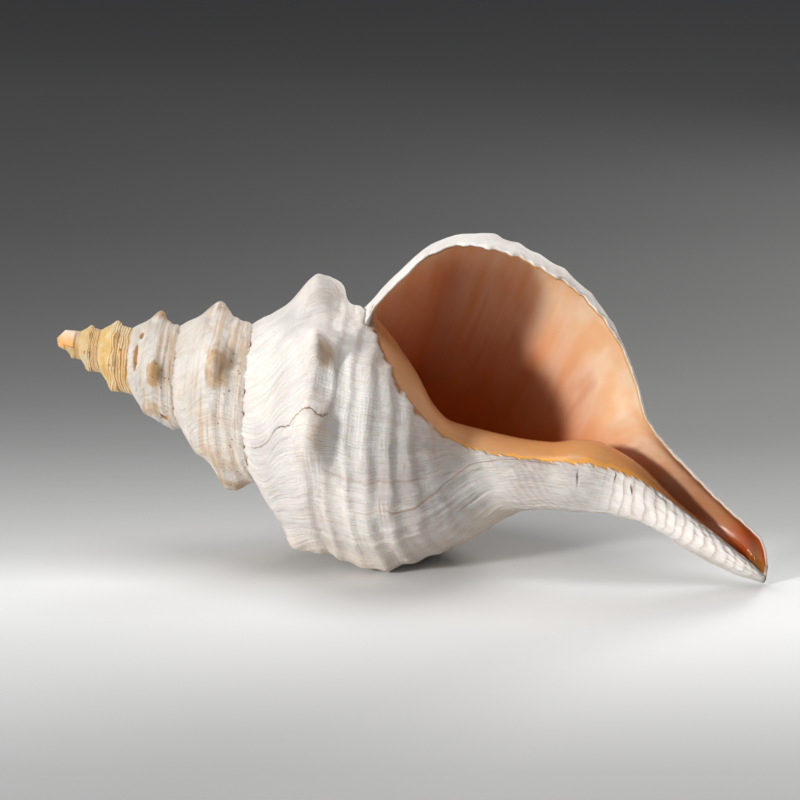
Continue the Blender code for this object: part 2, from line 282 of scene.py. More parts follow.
class Skin:
    # gathers points, their markings and faces of the one closed surface

    def __init__(self):
        self.points, self.marks, self.faces, self.count = [], [], [], 0

    def add(self, back, height, radius, inside, rim=0.0):
        back, height, radius, inside, rim = np.broadcast_arrays(back, height, radius, inside, rim)
        spots = toSpace(back, height, radius)
        numbers = np.arange(self.count, self.count + back.size).reshape(back.shape)
        self.points.append(spots.reshape(-1, 3))
        self.marks.append(np.stack([back, height, inside, rim], axis=-1).reshape(-1, 4))
        self.count += back.size
        return numbers

    def addLoose(self, points, back, height):
        points = np.atleast_2d(points)
        self.points.append(points)
        self.marks.append(np.tile([back, height, 0.0, 0.0], (len(points), 1)))
        self.count += len(points)
        return np.arange(self.count - len(points), self.count)

    def grid(self, numbers):
        a, b, c, d = numbers[:-1, :-1], numbers[1:, :-1], numbers[1:, 1:], numbers[:-1, 1:]
        corners = np.stack([a, b, c, d], axis=-1).reshape(-1, 4).tolist()
        self.faces.extend(list(dict.fromkeys(face)) for face in corners)

    def zipUp(self, first, firstPlaces, second, secondPlaces):
        i = j = 0
        while i < len(first) - 1 or j < len(second) - 1:
            more = i < len(first) - 1
            if more and (j == len(second) - 1 or firstPlaces[i + 1] <= secondPlaces[j + 1]):
                self.faces.append([int(first[i + 1]), int(second[j]), int(first[i])])
                i += 1
            else:
                self.faces.append([int(second[j + 1]), int(second[j]), int(first[i])])
                j += 1

    def fan(self, centre, ring):
        self.faces.extend([int(centre), int(a), int(b)] for a, b in zip(ring[:-1], ring[1:]))


def columnAngles():
    places = [0.0]
    for turn, steps in enumerate([mesh["bodyColumns"], *mesh["spireColumns"]]):
        span = min(360.0, (growth["turns"] - turn) * 360.0)
        count = round(steps * span / 360.0)
        places.extend(turn * 360.0 + span * (k + 1) / count for k in range(count))
    return np.array(places)


def hollowAngles():
    starts = [0] + [until for until, step in mesh["hollowSteps"]]
    return np.concatenate([np.arange(a, b, step, float) for a, (b, step) in zip(starts, mesh["hollowSteps"])])


def baseRows():
    return mesh["notchShare"] + (1 - mesh["notchShare"]) * np.linspace(0, 1, mesh["baseRows"])


def sutureWaver(back):
    fade = smoothStep((back - sutureEdge["calmUntil"]) / sutureEdge["fullAfter"])
    return fade * sizeAt(back) * waver(back, sutureEdge["seed"], sutureEdge["waves"])


def addOutside(skin, columns):
    # the band of every whorl that shows, and the rest of the last whorl
    share = (np.linspace(0, 1, mesh["bandRows"]) ** mesh["bandRowCrowding"])[None, :]
    back = columns[:, None]
    top = sutureHeight(back) + sutureWaver(back)
    onWhorl = sutureHeight(back - 360) + sutureWaver(back - 360) - sutureEdge["lap"] * sizeAt(back)
    beforeLip = growth["coilStart"] + growth["suture"] * sizeAt(back - 360)
    low = np.where(back < 360, beforeLip, onWhorl)
    heights = top + (low - top) * share
    radius = outerRadius(back, heights)
    seat = outerRadius(back + 360, heights[:, :1]) + sutureEdge["lift"] * sizeAt(back)
    rise = (seat - radius[:, :1]) * np.clip(1 - share / sutureEdge["fairing"], 0, 1) ** 2
    band = skin.add(back, heights, radius + np.where(back > (growth["turns"] - 1) * 360, 0, rise), 0)
    around = columns[columns <= 360][:, None]
    lower = heights[: len(around), -1:]
    baseHeights = lower + (growth["canalEnd"] - lower) * baseRows()[None, :]
    base = skin.add(around, baseHeights, outerRadius(around, baseHeights), 0)
    body = np.concatenate([band[: len(around)], base], axis=1)
    skin.grid(body)
    skin.grid(band[len(around) - 1:])
    return band, body, np.concatenate([heights[0], baseHeights[0]]), baseHeights[-1, 0]


def closeSutures(skin, band, columns):
    turnStart = int(np.searchsorted(columns, 360.0))
    covered = columns[columns <= columns[-1] - 360 + 1e-6]
    skin.zipUp(band[turnStart:, -1], columns[turnStart:] - 360, band[: len(covered), 0], covered)
    return len(covered)


def closeApex(skin, band, coveredCount, columns):
    lastTurn = band[coveredCount - 1:, 0]
    ring = np.concatenate([lastTurn, band[-1, 1:], lastTurn[:1]])
    spots = np.concatenate(skin.points)[ring[:-1]]
    centre = np.array(growth["apex"])
    innerRing = ring
    for share in mesh["crownShares"]:
        shrink = 1 + (np.array(growth["apexCrown"]) - 1) * share
        crown = skin.addLoose(centre + (spots - centre) * shrink, columns[-1], growth["apex"][0])
        crown = np.append(crown, crown[0])
        skin.grid(np.stack([crown, innerRing], axis=1))
        innerRing = crown
    skin.fan(skin.addLoose(centre, columns[-1], growth["apex"][0])[0], innerRing[::-1])


def closeCanalTip(skin, body):
    tip = skin.add([0.0], [growth["canalEnd"] + growth["canalTipReach"]], [0.0], 0)[0]
    rim = list(body[:, -1])
    skin.fan(tip, rim + [rim[0]])


def hollowSpan(depth):
    start, finish = [], []
    for back in depth:
        scan = np.linspace(sutureHeight(back), growth["canalEnd"], mesh["hollowScan"])
        angle = np.full_like(scan, back)
        clear = innerRadius(angle, scan) - outerRadius(angle + 360, scan)
        widest = int(np.argmax(clear))
        above = np.nonzero(clear[:widest] < mesh["leastGap"])[0]
        below = np.nonzero(clear[widest:] < mesh["leastGap"])[0]
        start.append(scan[above[-1]] if len(above) else scan[0])
        finish.append(scan[widest + below[0]] if len(below) else scan[-1])
    return np.array(start), np.array(finish)


def addHollow(skin, body, notchHeight):
    # the inside of the tube: its floor is the whorl before it, its roof the wall's inner face
    depth = hollowAngles()
    start, finish = hollowSpan(depth)
    start[0], finish[0] = notchHeight, growth["canalEnd"]
    rows = baseRows()
    share = (rows - rows[0]) / (1 - rows[0])
    heights = start[:, None] + (finish - start)[:, None] * share[None, :]
    back = depth[:, None]
    floorRadius = outerRadius(back + 360, heights)
    roofRadius = np.maximum(innerRadius(back, heights), floorRadius + mesh["leastHollow"])
    roof = skin.add(back, heights[:, 1:-1], roofRadius[:, 1:-1], 1)
    floor = skin.add(back[1:] + 360, heights[1:], floorRadius[1:], 0)
    floor = np.concatenate([body[-1:, mesh["bandRows"]:], floor], axis=0)
    roof = np.concatenate([floor[:, :1], roof, floor[:, -1:]], axis=1)
    skin.grid(floor)
    skin.grid(roof[:, ::-1])
    middle = (0.5 * (roofRadius + floorRadius))[-1].mean()
    deepest = skin.add([depth[-1] + mesh["hollowCap"]], [heights[-1].mean()], [middle], 1)[0]
    skin.fan(deepest, list(roof[-1]) + list(floor[-1, ::-1][1:]))
    return roof[0], heights[0]


def addLipEdge(skin, body, lipHeights, roofEdge, roofHeights):
    # a rounded edge between the wall's outer and inner face
    zero = np.zeros_like(lipHeights)
    outer = outerRadius(zero, lipHeights)
    half = 0.5 * np.minimum(wallThickness(zero, lipHeights), outer * lip["mostOfRadius"])
    ends = body[0]
    for turn in mesh["lipRound"]:
        angle = math.radians(turn)
        ahead = np.degrees(half * math.sin(angle) / np.maximum(outer, lip["leastRadius"]))
        column = skin.add(-ahead, lipHeights, outer - half * (1 - math.cos(angle)), 0, turn / 180)
        column[0], column[-1] = body[0, 0], body[0, -1]
        skin.grid(np.stack([column, ends]))
        ends = column
    skin.zipUp(ends, lipHeights, roofEdge, roofHeights)
    seam = mesh["bandRows"]
    skin.faces.append([int(body[-1, seam]), int(body[-1, seam - 1]), int(body[0, 0])])


def growShell():
    skin = Skin()
    columns = columnAngles()
    band, body, lipHeights, notchHeight = addOutside(skin, columns)
    coveredCount = closeSutures(skin, band, columns)
    closeApex(skin, band, coveredCount, columns)
    closeCanalTip(skin, body)
    roofEdge, roofHeights = addHollow(skin, body, notchHeight)
    addLipEdge(skin, body, lipHeights, roofEdge, roofHeights)
    data = bpy.data.meshes.new("shellGrown")
    outwards = [face[::-1] for face in skin.faces]
    data.from_pydata(intoFrame(np.concatenate(skin.points)).tolist(), [], outwards)
    data.update()
    markPoints(data, np.concatenate(skin.marks))
    return data


def markPoints(data, marks):
    # values that the relief and the colours read: where on the coil each point lies
    back, height, inside, rim = marks.T
    profile = np.minimum(profileAt(back, height), glazeEdge["longestProfile"])
    border = smoothCurve(growth["glazeLine"], height) + waver(height, glazeEdge["seed"], glazeEdge["waves"])
    glaze = smoothStep((back - border) / glazeEdge["softness"] + 0.5)
    edge = smoothStep((rim - glazeEdge["rimTurn"]) * 4)
    edge = edge * smoothStep((profile - glazeEdge["rimFrom"]) / glazeEdge["rimFade"])
    seam = sutureHeight(back - 360) + glazeEdge["clearOfSuture"]
    covered = np.where(back > 360, height > seam, height > glazeEdge["topOfMouth"])
    glaze = np.maximum(np.where(rim > 0, edge, glaze * covered), inside)
    values = {
        "coilBack": back,
        "coilHeight": height,
        "coilProfile": profile,
        "growthLine": back - smoothCurve(growth["growthLean"], profile),
        "coilSize": sizeAt(back),
        "glaze": glaze,
        "insideWall": inside,
        "knobShare": np.clip(knobShare(back, profile), 0, 1.3),
        "lipRim": rim,
    }
    for name, value in values.items():
        layer = data.attributes.new(name, "FLOAT", "POINT")
        layer.data.foreach_set("value", np.ascontiguousarray(value, np.float32))


class Term:
    # one socket; arithmetic on it adds Math nodes to its tree

    def __init__(self, bench, socket):
        self.bench, self.socket = bench, socket

    def math(self, operation, other=None, swapped=False):
        values = [self] if other is None else [other, self] if swapped else [self, other]
        return self.bench.add("ShaderNodeMath", {"operation": operation}, dict(enumerate(values)))

    def __add__(self, other):
        return self.math("ADD", other)

    __radd__ = __add__

    def __sub__(self, other):
        return self.math("SUBTRACT", other)

    def __rsub__(self, other):
        return self.math("SUBTRACT", other, True)

    def __mul__(self, other):
        return self.math("MULTIPLY", other)

    __rmul__ = __mul__

    def __truediv__(self, other):
        return self.math("DIVIDE", other)

    def __rtruediv__(self, other):
        return self.math("DIVIDE", other, True)

    def __pow__(self, other):
        return self.math("POWER", other)

    def __neg__(self):
        return self.math("MULTIPLY", -1.0)


class Bench:
    # adds nodes to one tree

    def __init__(self, tree):
        self.tree = tree

    def add(self, kind, settings=None, inputs=None, output=0):
        node = self.tree.nodes.new(kind)
        for name, value in (settings or {}).items():
            if name == "stops":
                fillRamp(node.color_ramp, value)
            elif name == "curve":
                fillCurve(node.mapping, value)
            else:
                setattr(node, name, value)
        for name, value in (inputs or {}).items():
            if isinstance(value, Term):
                self.tree.links.new(value.socket, node.inputs[name])
            else:
                node.inputs[name].default_value = value
        return Term(self, node.outputs[output])

    def read(self, name):
        if self.tree.type == "GEOMETRY":
            return self.add("GeometryNodeInputNamedAttribute", {"data_type": "FLOAT"}, {"Name": name})
        return self.add("ShaderNodeAttribute", {"attribute_name": name}, output="Fac")

    def ramp(self, value, low, high, start=0.0, end=1.0):
        # smooth step of value from low to high
        return self.add("ShaderNodeMapRange", {"interpolation_type": "SMOOTHSTEP"},
                        {"Value": value, "From Min": low, "From Max": high, "To Min": start, "To Max": end})

    def bell(self, value, centre, width):
        away = (value - centre) / width
        return (-(away * away)).math("EXPONENT")

    def noise(self, place, scale, detail=2.0, roughness=0.5):
        return self.add("ShaderNodeTexNoise", {"noise_dimensions": "3D"},
                        {"Vector": place, "Scale": scale, "Detail": detail, "Roughness": roughness})

    def cloud(self, x, y, seed, detail=2.0, roughness=0.5):
        # noise drawn out along two directions of the coil
        return self.noise(self.spot(x, y, seed), 1.0, detail, roughness)

    def spot(self, x, y, z=0.0):
        return self.add("ShaderNodeCombineXYZ", None, {"X": x, "Y": y, "Z": z})

    def mixColour(self, share, first, second):
        return self.add("ShaderNodeMix", {"data_type": "RGBA"}, {"Factor": share, 6: first, 7: second}, 2)


def fillRamp(colourRamp, stops):
    while len(colourRamp.elements) < len(stops):
        colourRamp.elements.new(0.5)
    for element, (place, colour) in zip(colourRamp.elements, stops):
        element.position, element.color = place, (*colour, 1)


def fillCurve(mapping, points):
    curve = mapping.curves[0]
    while len(curve.points) < len(points):
        curve.points.new(0.5, 0.5)
    for point, (x, y) in zip(curve.points, points):
        point.location = (x, y)
    mapping.update()


# What wear and growth have drawn on the shell, with painted shade on the knobs among the stains. Places run
# along the profile, widths are half widths.
markings = {
    # degrees back, place, width in degrees, width along the profile
    "wornHoles": [(1017, 176.5, 20, 4.6), (947, 225, 6.5, 5.2), (1716, 193, 5, 3.4), (1383, 226, 3, 2.6),
                  (1052, 182, 6, 3.5)],
    # the same, and how strong the ochre is: stains on the knobs that also paint the knobs' shade
    "knobStainsAndShade": [(320, 219, 8, 7, 0.55), (288, 221, 10, 7, 0.3), (1003, 214, 15, 15, 0.7),
               (664, 214, 18, 16, 0.5), (960, 212, 16, 14, 0.6), (940, 234, 14, 9, 0.4),
               (590, 214, 18, 18, 0.35), (1096, 208, 14, 10, 0.4)],
    # short cracks across the canal: height along the axis, degrees back, half length in degrees
    "canalCracks": [(283.5, 304, 9), (301, 323, 5), (311, 315, 7)],
    "canalCrackWidth": 0.4,
    # paths of (degrees back, place), and their widths in degrees
    "crack": [(259.5, 168.6), (267.4, 178.7), (273.4, 184.4), (277.7, 186.8), (282.9, 192.6), (285.3, 199.1),
              (289.3, 202.7), (292.5, 207.8), (295.2, 213.1), (295.3, 217.4), (293.9, 221.2), (295.7, 226.5)],
    "crackWidth": 0.28,
    "growthLine": [(253, 264), (250, 272), (256, 290), (268, 305.5), (287, 326), (310, 362), (317, 393)],
    "growthLineWidth": 0.9,
    "lowerLine": [(271, 224), (267.4, 243), (269, 268), (269.8, 292), (274.2, 322), (311, 369), (325, 396)],
    "lowerLineWidth": 0.7,
}
# Cords round the whorls and frills across the canal, where the relief and the colours need the same ones
cords = {
    "first": 226.0, "sway": 13.0, "swayAround": 0.032, "swayAcross": 0.03, "knobPush": 5, "from": (206, 222),
}
frills = {"middle": 285, "bow": 0.0012, "sway": 2.5, "swayAround": 0.012, "swayDown": 0.03, "seed": 6.0}


class Coil:
    # where on the coil each point lies, read from the mesh in one tree

    def __init__(self, bench):
        self.back, self.height = bench.read("coilBack"), bench.read("coilHeight")
        self.profile, self.growthLine = bench.read("coilProfile"), bench.read("growthLine")
        self.size, self.knob = bench.read("coilSize"), bench.read("knobShare")
        self.glaze, self.inside = bench.read("glaze"), bench.read("insideWall")


def cordSway(bench, coil, seed):
    around, across = coil.back * cords["swayAround"], coil.profile * cords["swayAcross"]
    return (bench.cloud(around, across, seed) - 0.5) * cords["sway"]


def cordWave(coil, sway, spacing, perSpacing):
    # 1 on every cord and 0 between them
    turns = (coil.profile + sway + coil.knob * cords["knobPush"] - cords["first"]) / spacing
    return (turns * (2 * math.pi * perSpacing)).math("COSINE") * 0.5 + 0.5


def frillSaw(bench, coil, spacing):
    # rises from 0 to 1 over every frill
    around, down = coil.back * frills["swayAround"], coil.height * frills["swayDown"]
    sway = bench.cloud(around, down, frills["seed"]) - 0.5
    off = coil.back - frills["middle"]
    turns = (coil.height + off * off * frills["bow"]) / spacing + sway * frills["sway"]
    return turns - turns.math("FLOOR")


def lineCurve(bench, place, points):
    # the value of a path of (place, value) points, as a Float Curve
    low, high = points[0][0], points[-1][0]
    least, most = min(v for x, v in points), max(v for x, v in points)
    curve = [((x - low) / (high - low), (v - least) / (most - least)) for x, v in points]
    share = bench.add("ShaderNodeFloatCurve", {"curve": curve}, {"Value": (place - low) / (high - low)})
    return share * (most - least) + least


def stroke(bench, back, profile, name):
    # 1 along a path of the markings, falling to 0 at about twice its width
    points = markings[name]
    low, high = points[0][1], points[-1][1]
    line = lineCurve(bench, profile, [(p, b) for b, p in points])
    ends = bench.ramp(profile, low - 1, low + 2) * bench.ramp(profile, high - 2, high + 1, 1, 0)
    return bench.bell(back, line, markings[name + "Width"]) * ends


def crackMask(bench, coil):
    jag = (bench.cloud(coil.back * 0.4, coil.profile * 0.4, 7.0, 3) - 0.5) * 2.5
    return stroke(bench, coil.back + jag, coil.profile, "crack")


def worn(bench, coil):
    jag = (bench.cloud(coil.back * 0.15, coil.profile * 0.3, 9.0) - 0.5) * 0.5
    total = 0.0
    for angle, place, halfAngle, halfPlace in markings["wornHoles"]:
        across, along = (coil.back - angle) / halfAngle, (coil.profile - place) / halfPlace
        total = total + bench.ramp(across * across + along * along + jag, 1.25, 0.7)
    return total


# Inputs of the relief tree, in millimetres or degrees on the last whorl
reliefSizes = {
    "Cord spacing": 13.4,
    "Cord height": 2.3,
    "Between cord height": 0.6,
    "Keel height": 2.4,
    "Growth wrinkle height": 1.0,
    "Growth wrinkle spacing": 7.0,
    "Growth line height": 0.45,
    "Frill height": 0.9,
    "Frill spacing": 5.4,
    "Lump height": 1.1,
    "Glaze height": 0.35,
    "Seed": 11.0,
}
# Where the relief comes and goes: from and to along the profile, or middle and width
reliefPlaces = {
    "cordsFainter": (275, 300, 1, 0.28),
    "cordsEnd": (330, 400, 1, 0),
    "keel": (210, 6),
    "roughBelly": (245, 40),         # degrees back, where the growth lines are strongest
    "roughBellyGain": 1.1,
    "frillsStart": (292, 312),       # height along the axis
    "frillsEnd": (372, 382, 1, 0),
    "frillsAround": (300, 62),       # degrees back
    "thinLip": (0, 32, 0.12, 1),     # degrees back
    "rimStart": (0.2, 0.5),
    "holeDepth": 3.5,
    "crackDepth": 0.7,
}


def reliefTree(material):
    # raises the cords, growth wrinkles, canal frills and glaze on the grown surface
    tree = bpy.data.node_groups.new("shellRelief", "GeometryNodeTree")
    tree.interface.new_socket("Geometry", in_out="INPUT", socket_type="NodeSocketGeometry")
    for name, value in reliefSizes.items():
        tree.interface.new_socket(name, in_out="INPUT", socket_type="NodeSocketFloat").default_value = value
    tree.interface.new_socket("Geometry", in_out="OUTPUT", socket_type="NodeSocketGeometry")
    bench = Bench(tree)
    groupIn = tree.nodes.new("NodeGroupInput")
    size = {name: Term(bench, groupIn.outputs[name]) for name in reliefSizes}
    seed, at = size["Seed"], reliefPlaces
    coil = Coil(bench)
    back, height, profile = coil.back, coil.height, coil.profile
    chalk = (1 - coil.glaze) * (1 - bench.ramp(bench.read("lipRim"), *at["rimStart"]))

    sway = cordSway(bench, coil, seed)
    cord = cordWave(coil, sway, size["Cord spacing"], 1) ** 0.8
    between = cordWave(coil, sway, size["Cord spacing"], 2)
    patchy = bench.ramp(bench.cloud(back * 0.012, profile * 0.02, seed + 3), 0.35, 0.65, 0.45, 1)
    cordZone = bench.ramp(profile, *cords["from"]) * bench.ramp(profile, *at["cordsFainter"])
    cordZone = cordZone * bench.ramp(profile, *at["cordsEnd"])
    raised = (cord * size["Cord height"] + between * size["Between cord height"]) * cordZone * patchy

    folds = bench.cloud(coil.growthLine / size["Growth wrinkle spacing"], profile * 0.012, seed + 6)
    lines = bench.cloud(coil.growthLine * 0.24, profile * 0.02, seed + 7, 1)
    wrinkles = (folds - 0.5) * 2 * size["Growth wrinkle height"]
    wrinkles = wrinkles + (lines - 0.5) * 2 * size["Growth line height"]
    wrinkles = wrinkles * (1 + bench.bell(back, *at["roughBelly"]) * at["roughBellyGain"])

    keelBreaks = bench.ramp(bench.cloud(back * 0.03, 3.0, seed + 2), 0.3, 0.55, 0.25, 1)
    keel = bench.bell(profile + sway * 0.5, *at["keel"]) * size["Keel height"] * keelBreaks

    frillZone = bench.ramp(height, *at["frillsStart"]) * bench.ramp(height, *at["frillsEnd"])
    frillZone = frillZone * bench.bell(back, *at["frillsAround"])
    frill = (frillSaw(bench, coil, size["Frill spacing"]) ** 2) * size["Frill height"] * frillZone

    lumps = (bench.cloud(back * 0.05, profile * 0.07, seed + 9, 3) - 0.5) * 2 * size["Lump height"]
    relief = raised + keel + wrinkles * (1 - frillZone * 0.8) + lumps
    relief = relief * bench.ramp(back, *at["thinLip"]) - worn(bench, coil) * at["holeDepth"]
    relief = relief * coil.size * chalk
    relief = relief - (crackMask(bench, coil) * at["crackDepth"] - frill) * chalk
    relief = (relief + coil.glaze * size["Glaze height"]) * (1 - coil.inside) * mm

    normal = bench.add("GeometryNodeInputNormal")
    offset = bench.add("ShaderNodeVectorMath", {"operation": "SCALE"}, {0: normal, "Scale": relief})
    grown = Term(bench, groupIn.outputs[0])
    moved = bench.add("GeometryNodeSetPosition", None, {"Geometry": grown, "Offset": offset})
    whole = bench.add("GeometryNodeRealizeInstances", None, {"Geometry": moved})
    dressed = bench.add("GeometryNodeSetMaterial", None, {"Geometry": whole, "Material": material})
    groupOut = tree.nodes.new("NodeGroupOutput")
    tree.links.new(dressed.socket, groupOut.inputs[0])
    return tree


shellLook = {
    "white": (0.84, 0.80, 0.76),
    "coolWhite": (0.72, 0.67, 0.65),
    "warmWhite": (0.74, 0.60, 0.47),
    "tan": (0.42, 0.27, 0.14),
    "growthTan": (0.50, 0.34, 0.24),
    "spireYellow": (0.90, 0.58, 0.20),
    "spireCream": (0.93, 0.78, 0.52),
    "amber": (0.66, 0.27, 0.04),
    "tipWhite": (0.74, 0.58, 0.48),
    "tipOrange": (0.70, 0.36, 0.12),
    "lipPeach": (0.92, 0.56, 0.31),
    "lipCream": (0.97, 0.74, 0.53),
    "lipRose": (0.70, 0.38, 0.22),
    "throat": (0.52, 0.105, 0.007),
    "deepThroatBrownAndShade": (0.24, 0.031, 0.001),
    "glazeTan": (0.60, 0.34, 0.18),
    "glazeOrange": (0.66, 0.32, 0.12),
    "glazeEdge": (0.30, 0.10, 0.025),
    "glazeAmber": (0.90, 0.42, 0.05),
    "canalBrown": (0.42, 0.17, 0.07),
    "canalTip": (0.36, 0.048, 0.001),
    "troughShade": (0.13, 0.04, 0.012),
    "ochre": (0.62, 0.38, 0.17),
    "pit": (0.30, 0.15, 0.06),
    "rustLine": (0.42, 0.22, 0.14),
    "crackBrown": (0.28, 0.14, 0.06),
    "holeAmber": (0.48, 0.22, 0.07),
    "chalkRoughness": 0.62,
    "glazeRoughness": 0.24,
    "subsurface": 0.22,
    "subsurfaceColour": (1.0, 0.55, 0.3),
    "subsurfaceScale": 0.006,
    # where each colour comes in, in degrees back
    "agedFrom": (330, 520),
    "bellyFrom": (245, 185),
    "bellyUntil": (60, 120),
    "frontLines": (255, 32),             # middle and width
    "stripesFrom": (400, 560),
    "knobTintAndShadeFrom": (380, 620, 0.12, 0.8),
    "yellowFrom": (1110, 1250),
    "seamFrom": (355, 362),
    "pitsFrom": (380, 500),
    "throatFrom": (30, 110),
    "deepThroatShadeFrom": (80, 220),
    "deepWashShadeFrom": (375, 450),
    "troughShadeBand": (372, 9),                  # middle and width
    # where along the profile
    "stripesBelow": (180, 205, 0.35, 1),
    "yellowRidges": (192, 204),
    "seamAt": (243.6, 245.4),
    "pitsBelow": (205, 222),
    "crackShows": (172, 195, 0.3, 0.95),
    # where along the axis
    "tipEnds": (17, 14),
    "washTurns": (215, 262),
    "amberFrom": (205, 228),
    "edgeUntil": (235, 195),
    "frillsFrom": (288, 312),
    "frillsAround": (300, 70),           # middle and width in degrees back
    "canalFrom": (300, 345),
    "canalTipFrom": (352, 372),
    "troughShadeFrom": (300, 330),
    "tipLevel": (0.1135, 0.1080),        # metres above the floor
}


def colour(name):
    return (*shellLook[name], 1)


def paint(bench, ground, *coats):
    # lays coats of (how much, colour's name) over the ground
    for share, name in coats:
        ground = bench.mixColour(share, ground, colour(name))
    return ground


class Grain:
    # the noises and masks that the colours and the bump share; speckle and drift lie around 0

    def __init__(self, bench, coil):
        self.place = bench.add("ShaderNodeTexCoord", output="Object")
        self.spots = bench.noise(self.place, 90.0, 4, 0.6)
        self.broad = bench.noise(self.place, 28.0, 3, 0.55)
        self.speckle, self.drift = self.spots - 0.5, self.broad - 0.5
        self.streaks = bench.cloud(coil.growthLine * 0.55, coil.profile * 0.02, 2.0, 3, 0.6)
        self.fineStreaks = bench.cloud(coil.growthLine * 2.2, coil.profile * 0.03, 5.0, 2, 0.6)
        self.stripes = bench.cloud(coil.back * 0.012, coil.profile * 0.17, 12.0, 3, 0.6)
        sway = cordSway(bench, coil, reliefSizes["Seed"])
        self.halfCord = cordWave(coil, sway, reliefSizes["Cord spacing"], 2)
        self.frillZone = bench.ramp(coil.height, *shellLook["frillsFrom"])
        self.frillZone = self.frillZone * bench.bell(coil.back, *shellLook["frillsAround"])
        self.saw = frillSaw(bench, coil, reliefSizes["Frill spacing"])
        self.crack = crackMask(bench, coil)
        self.pits = self.findPits(bench, coil)
        self.splits = [self.findSplit(bench, coil, *split) for split in markings["canalCracks"]]

    def findPits(self, bench, coil):
        # small worn pits, thick round the knobs
        cells = bench.add("ShaderNodeTexVoronoi", {"feature": "F1"}, {"Vector": self.place, "Scale": 330.0})
        zone = bench.ramp(coil.profile + self.drift * 60 + coil.knob * 25, *shellLook["pitsBelow"])
        zone = zone * bench.ramp(coil.back, *shellLook["pitsFrom"])
        return bench.ramp(cells, 0.2, 0.1) * zone * bench.ramp(self.spots, 0.46, 0.54)

    def findSplit(self, bench, coil, height, back, halfLength):
        jag = coil.height + self.speckle * 6 + (coil.back - back) * 0.06
        return bench.bell(jag, height, markings["canalCrackWidth"]) * bench.bell(coil.back, back, halfLength)


def chalkColour(bench, coil, grain):
    look, back, profile = shellLook, coil.back, coil.profile
    spots, speckle, drift, stripes = grain.spots, grain.speckle, grain.drift, grain.stripes
    lineStrength = (0.35 + bench.bell(back, *look["frontLines"]) * 0.4) * (1 - grain.frillZone * 0.9)
    groove = (1 - grain.halfCord) * bench.ramp(profile, *cords["from"]) * bench.ramp(grain.broad, 0.4, 0.65)
    aged = bench.ramp(back + drift * 80, *look["agedFrom"])
    belly = bench.ramp(back + drift * 60, *look["bellyFrom"]) * bench.ramp(back, *look["bellyUntil"])
    striped = bench.ramp(back + drift * 120, *look["stripesFrom"])
    striped = striped * bench.ramp(profile, *look["stripesBelow"])
    # tan on the knobs: partly their own tint, partly painted shade on the knobs
    knobTintAndShade = bench.ramp(coil.knob, 0.15, 0.6) * bench.ramp(spots + (stripes - 0.5) * 0.6, 0.36, 0.6)
    ground = bench.mixColour(bench.ramp(grain.broad, 0.35, 0.7), colour("white"), colour("coolWhite"))
    ground = paint(
        bench, ground,
        (bench.ramp(grain.streaks, 0.5, 0.78) * 0.55 + bench.ramp(spots, 0.55, 0.8) * 0.25, "warmWhite"),
        (bench.ramp(grain.fineStreaks, 0.6, 0.74) * lineStrength, "growthTan"),
        (groove * 0.3, "growthTan"),
        (stroke(bench, back + speckle * 5, profile, "growthLine") * 0.6, "rustLine"),
        (stroke(bench, back + speckle * 5, profile, "lowerLine") * 0.3, "rustLine"),
        (aged * (0.15 + 0.4 * bench.ramp(spots, 0.4, 0.65)), "warmWhite"),
        (belly * 0.6, "warmWhite"),
        (bench.ramp(stripes, 0.5, 0.62) * striped * 0.55, "ochre"),
        (knobTintAndShade * bench.ramp(back, *look["knobTintAndShadeFrom"]), "tan"),
    )
    # ochre stains on the knobs, partly painted shade on them
    for angle, stainPlace, halfAngle, halfPlace, strength in markings["knobStainsAndShade"]:
        stainAndShade = bench.bell(back, angle, halfAngle) * bench.bell(profile, stainPlace, halfPlace)
        ground = paint(bench, ground, (bench.ramp(stainAndShade + speckle * 1.2, 0.35, 0.85) * strength, "ochre"))
    return spireColour(bench, coil, grain, ground)


def spireColour(bench, coil, grain, ground):
    # the spire turns yellow with amber grooves, and its tip is white on top and orange lower down
    look, speckle = shellLook, grain.speckle
    ridges = bench.ramp(coil.profile, *look["yellowRidges"])
    groove = grain.halfCord + (grain.stripes - 0.5) * 2
    yellow = bench.mixColour(bench.ramp(grain.spots, 0.35, 0.7), colour("spireYellow"), colour("spireCream"))
    yellow = paint(
        bench, yellow,
        (bench.ramp(groove, 0.45, 0.15) * ridges * 0.9, "amber"),
        (bench.ramp(groove, 0.6, 0.85) * ridges * 0.8, "spireCream"),
    )
    ground = bench.mixColour(bench.ramp(coil.back + grain.drift * 120, *look["yellowFrom"]), ground, yellow)
    level = bench.add("ShaderNodeSeparateXYZ", None, {0: grain.place}, 2)
    low = bench.ramp(level + speckle * 0.004, *look["tipLevel"])
    tip = bench.mixColour(low, colour("tipWhite"), colour("tipOrange"))
    ground = bench.mixColour(bench.ramp(coil.height, *look["tipEnds"]), ground, tip)
    seam = bench.ramp(coil.profile + speckle * 3, *look["seamAt"]) * bench.ramp(coil.back, *look["seamFrom"])
    ground = paint(
        bench, ground,
        (seam * 0.75 * bench.ramp(grain.streaks, 0.3, 0.6), "amber"),
        (grain.pits * 0.8, "pit"),
        (grain.crack * bench.ramp(coil.profile, *look["crackShows"]), "crackBrown"),
        (worn(bench, coil).math("MINIMUM", 1.0), "holeAmber"),
        # painted shade on the low side of every canal frill
        (bench.ramp(grain.saw, 0.3, 0.0) * grain.frillZone * 0.6, "warmWhite"),
    )
    return paint(bench, ground, *[(split, "crackBrown") for split in grain.splits])


